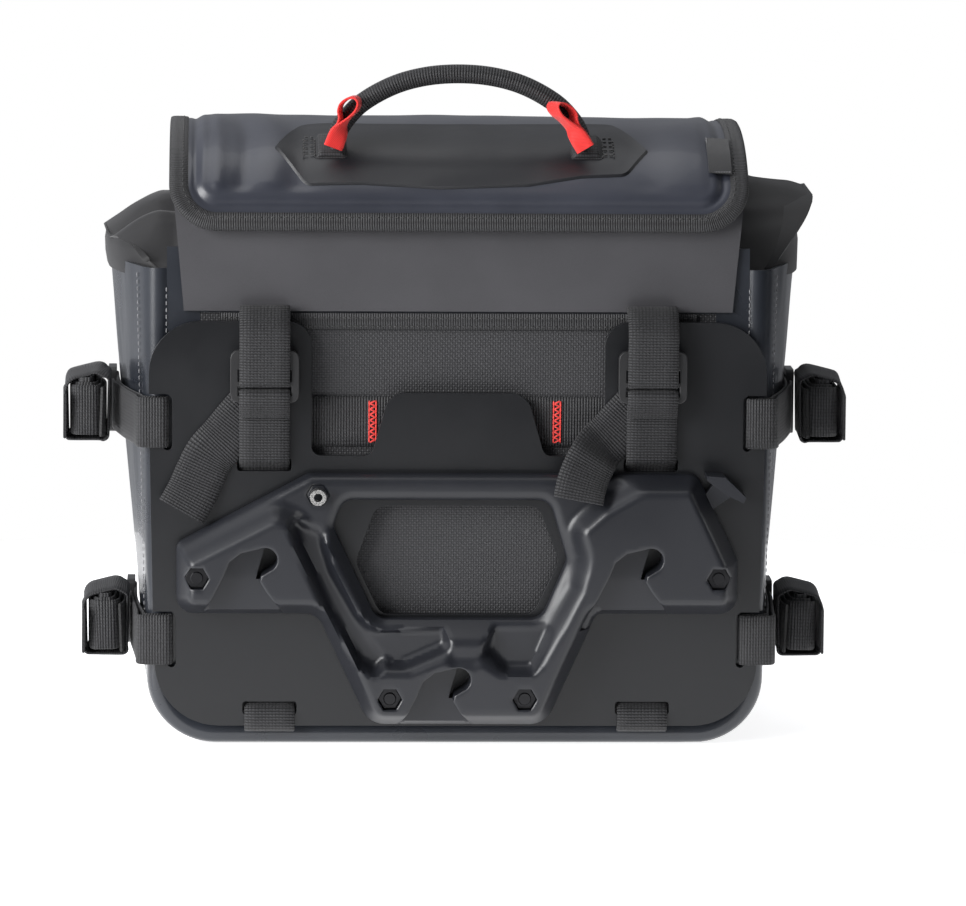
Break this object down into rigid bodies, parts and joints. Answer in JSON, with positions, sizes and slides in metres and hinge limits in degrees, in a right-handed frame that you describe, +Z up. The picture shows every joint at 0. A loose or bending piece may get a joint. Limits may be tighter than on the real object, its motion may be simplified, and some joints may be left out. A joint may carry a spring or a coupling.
{
  "type": "pannier bag",
  "caption": "Soft roll-top pannier with a carrying handle and buckled lid, strapped to a rigid adapter plate whose carrier bracket has pin sockets and a lock lever",
  "frame": {"origin": "middle of the flat base that the bag stands on", "axes": "+Z up; -Y is the mounting side with the adapter plate and bracket; +X to the right as seen facing the mounting side"},
  "size_m": [0.388, 0.2094, 0.3394],
  "materials": {
    "tarpaulin": "semi-gloss coated fabric",
    "back_fabric": "coarse woven fabric",
    "matt_fabric": "matt coated fabric",
    "board": "matt stiffening board",
    "webbing": "woven webbing",
    "buckle_plastic": "satin moulded plastic",
    "red_tape": "matt woven tape",
    "plate_coat": "satin glass-filled plastic",
    "moulding": "satin glass-filled plastic",
    "steel": "plated",
    "dark_steel": "black zinc"
  },
  "bodies": {
    "bag": {"adapter_plate": "plate_coat", "back_binding": "webbing", "back_panel": "back_fabric", "back_stiffener": "board", "base_panel": "tarpaulin", "base_stiffener": "board", "buckle_anchor_left": "webbing", "buckle_anchor_right": "webbing", "carrier_bracket": "moulding", "front_panel": "tarpaulin", "front_shell": "tarpaulin", "ladder_buckle_left": "buckle_plastic", "ladder_buckle_right": "buckle_plastic", "lever_pin": "steel", "lower_loop_left": "webbing", "lower_loop_right": "webbing", "plate_bolt_arm_left": "dark_steel", "plate_bolt_arm_right": "dark_steel", "plate_bolt_foot_left": "dark_steel", "plate_bolt_foot_right": "dark_steel", "pocket_webbing": "webbing", "red_bartack_left": "red_tape", "red_bartack_right": "red_tape", "roll_bundle": "tarpaulin", "roll_collar": "tarpaulin", "roll_keeper_lower_left": "webbing", "roll_keeper_lower_right": "webbing", "roll_keeper_upper_left": "webbing", "roll_keeper_upper_right": "webbing", "side_buckle_lower_left": "buckle_plastic", "side_buckle_lower_right": "buckle_plastic", "side_buckle_upper_left": "buckle_plastic", "side_buckle_upper_right": "buckle_plastic", "side_panel_left": "tarpaulin", "side_panel_right": "tarpaulin", "side_strap_lower_left": "webbing", "side_strap_lower_right": "webbing", "side_strap_upper_left": "webbing", "side_strap_upper_right": "webbing", "storm_loop_tape": "webbing", "storm_panel": "matt_fabric", "strap_tail_left": "webbing", "strap_tail_right": "webbing", "threaded_insert": "steel", "upright_strap_left": "webbing", "upright_strap_right": "webbing"},
    "lid": {"lid_flap": "tarpaulin", "lid_binding": "webbing", "handle_patch": "tarpaulin", "handle_anchor_left": "webbing", "handle_anchor_right": "webbing", "side_label": "webbing", "lid_hook_tape": "webbing"},
    "handle": {"handle_grip": "webbing", "red_tab_left": "red_tape", "red_tab_right": "red_tape"},
    "lever": {"lock_lever": "moulding"}
  },
  "joints": [
    {"name": "lid_hinge", "type": "hinge", "parent": "bag", "child": "lid", "pos_m": [0, 0.088, 0.268], "axis": [-1, 0, 0], "range_deg": [0, 110]},
    {"name": "handle_swing", "type": "hinge", "parent": "lid", "child": "handle", "pos_m": [0, -0.073, 0.3007], "axis": [1, 0, 0], "range_deg": [-50, 50], "stiffness_Nm_per_rad": 0.04},
    {"name": "lock_lever_turn", "type": "hinge", "parent": "bag", "child": "lever", "pos_m": [0.112, -0.097, 0.112], "axis": [0, 1, 0], "range_deg": [0, 35], "stiffness_Nm_per_rad": 0.05, "springref_deg": -11.46}
  ]
}
